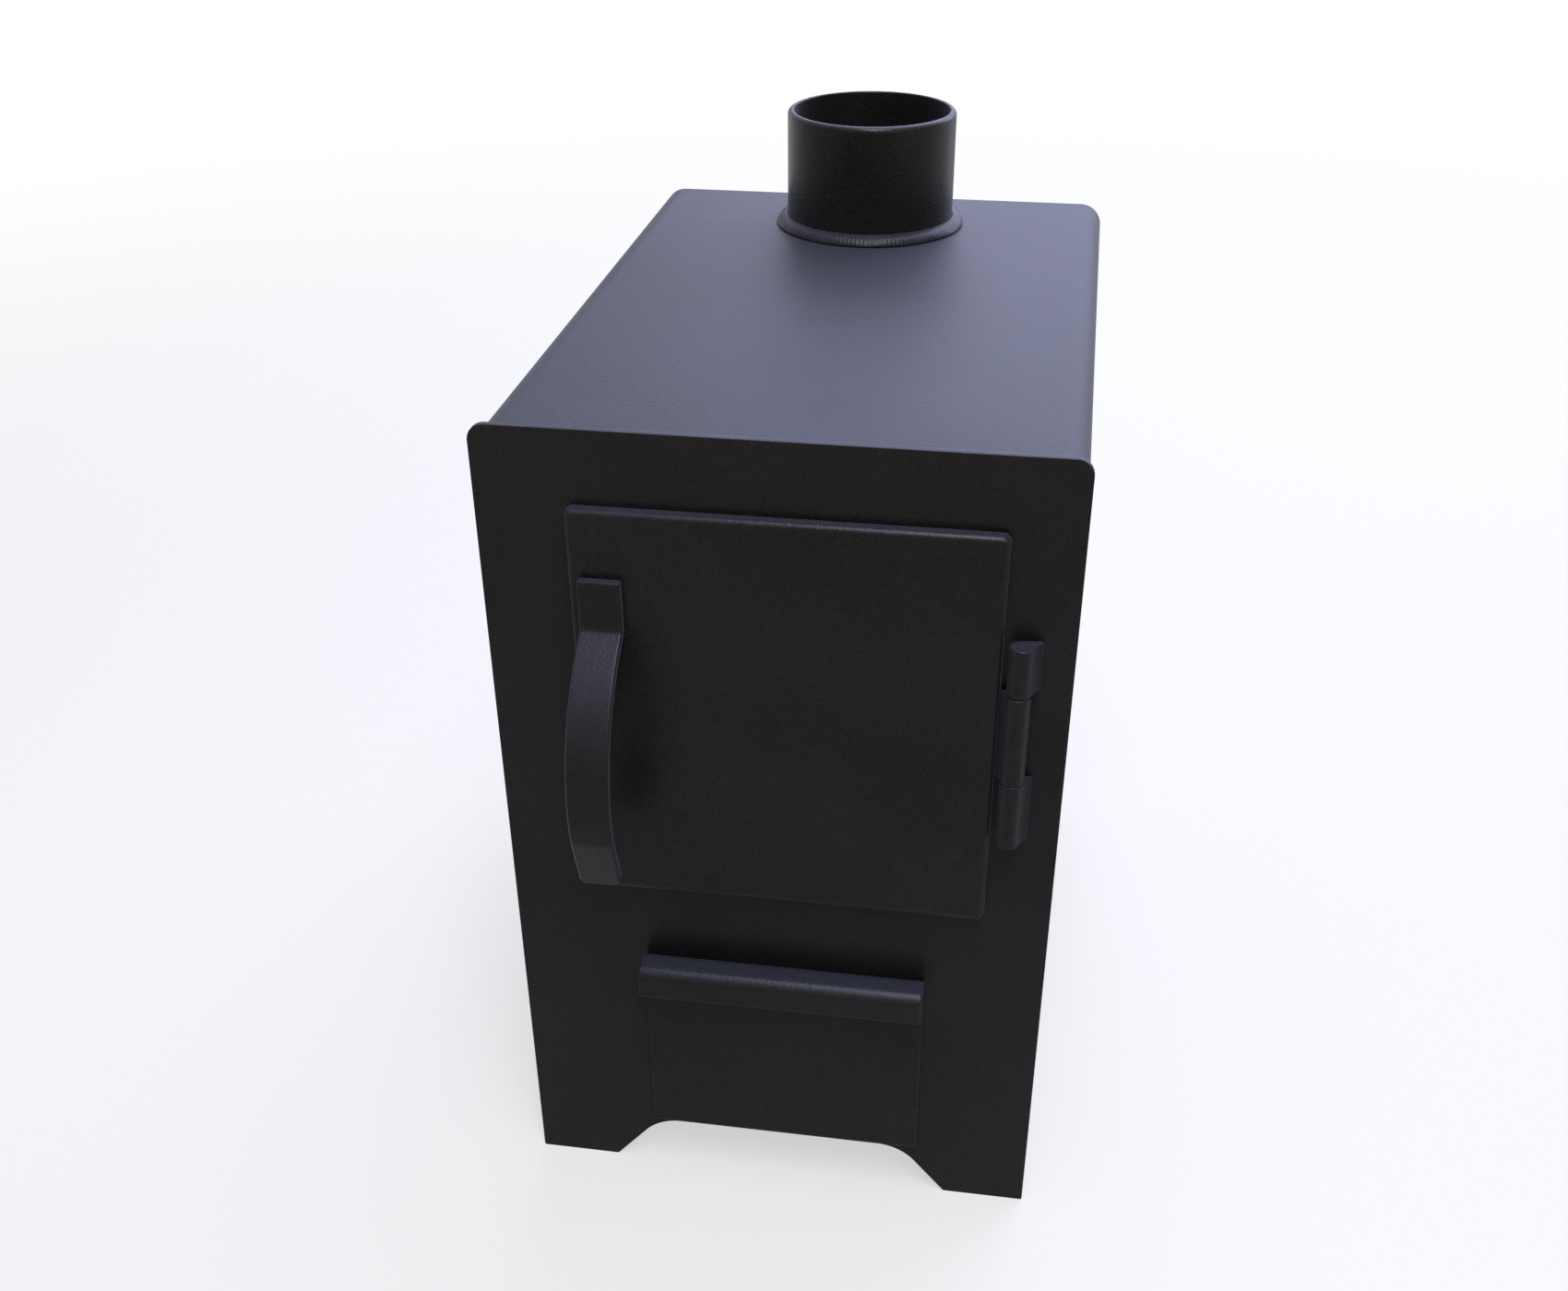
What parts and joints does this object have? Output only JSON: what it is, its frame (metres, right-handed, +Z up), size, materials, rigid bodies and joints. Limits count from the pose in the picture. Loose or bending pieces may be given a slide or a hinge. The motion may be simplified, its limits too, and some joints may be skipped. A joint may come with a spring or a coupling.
{
  "type": "box stove",
  "caption": "Small rectangular wood stove of welded sheet steel with a hinged fire door, a slide-out ash drawer, plate feet and a round flue spigot on top.",
  "frame": {"origin": "on the floor at the centre of the bounding box", "axes": "+X to the stove's right seen from the front, +Y to its back, +Z up; the door faces -Y"},
  "size_m": [0.306, 0.5118, 0.5592],
  "materials": {
    "stove_paint": "satin heat-resistant paint",
    "cast_grate": "raw cast",
    "bare_steel": "bright",
    "pan_steel": "galvanised",
    "seal_rope": "braided glass fibre"
  },
  "bodies": {
    "stove": {"front_plate": "stove_paint", "body_shell": "stove_paint", "back_plate": "stove_paint", "floor_plate": "stove_paint", "hearth_plate": "stove_paint", "fire_grate": "cast_grate", "baffle_plate": "stove_paint", "hearth_ledge_left": "stove_paint", "hearth_ledge_right": "stove_paint", "baffle_ledge_left": "stove_paint", "baffle_ledge_right": "stove_paint", "drawer_guide_left": "stove_paint", "drawer_guide_right": "stove_paint", "flue_spigot": "stove_paint", "flue_weld_bead": "stove_paint", "hinge_knuckle_bottom": "stove_paint", "hinge_knuckle_top": "stove_paint", "hinge_pin": "bare_steel"},
    "door": {"door_panel": "stove_paint", "door_liner": "stove_paint", "door_seal": "seal_rope", "door_handle": "stove_paint", "hinge_knuckle_middle": "stove_paint", "liner_stud_1": "bare_steel", "liner_nut_1": "bare_steel", "liner_stud_2": "bare_steel", "liner_nut_2": "bare_steel", "liner_stud_3": "bare_steel", "liner_nut_3": "bare_steel", "liner_stud_4": "bare_steel", "liner_nut_4": "bare_steel"},
    "ash_drawer": {"ash_drawer_front": "stove_paint", "ash_pan_trough": "pan_steel", "ash_pan_front_end": "pan_steel", "ash_pan_back_end": "pan_steel"}
  },
  "joints": [
    {"name": "door_swing", "type": "hinge", "parent": "stove", "child": "door", "pos_m": [0.126, -0.20215, 0.3337], "axis": [0, 0, 1], "range_deg": [0, 175]},
    {"name": "ash_drawer_slide", "type": "slide", "parent": "stove", "child": "ash_drawer", "axis": [0, -1, 0], "range_m": [0, 0.36]}
  ]
}
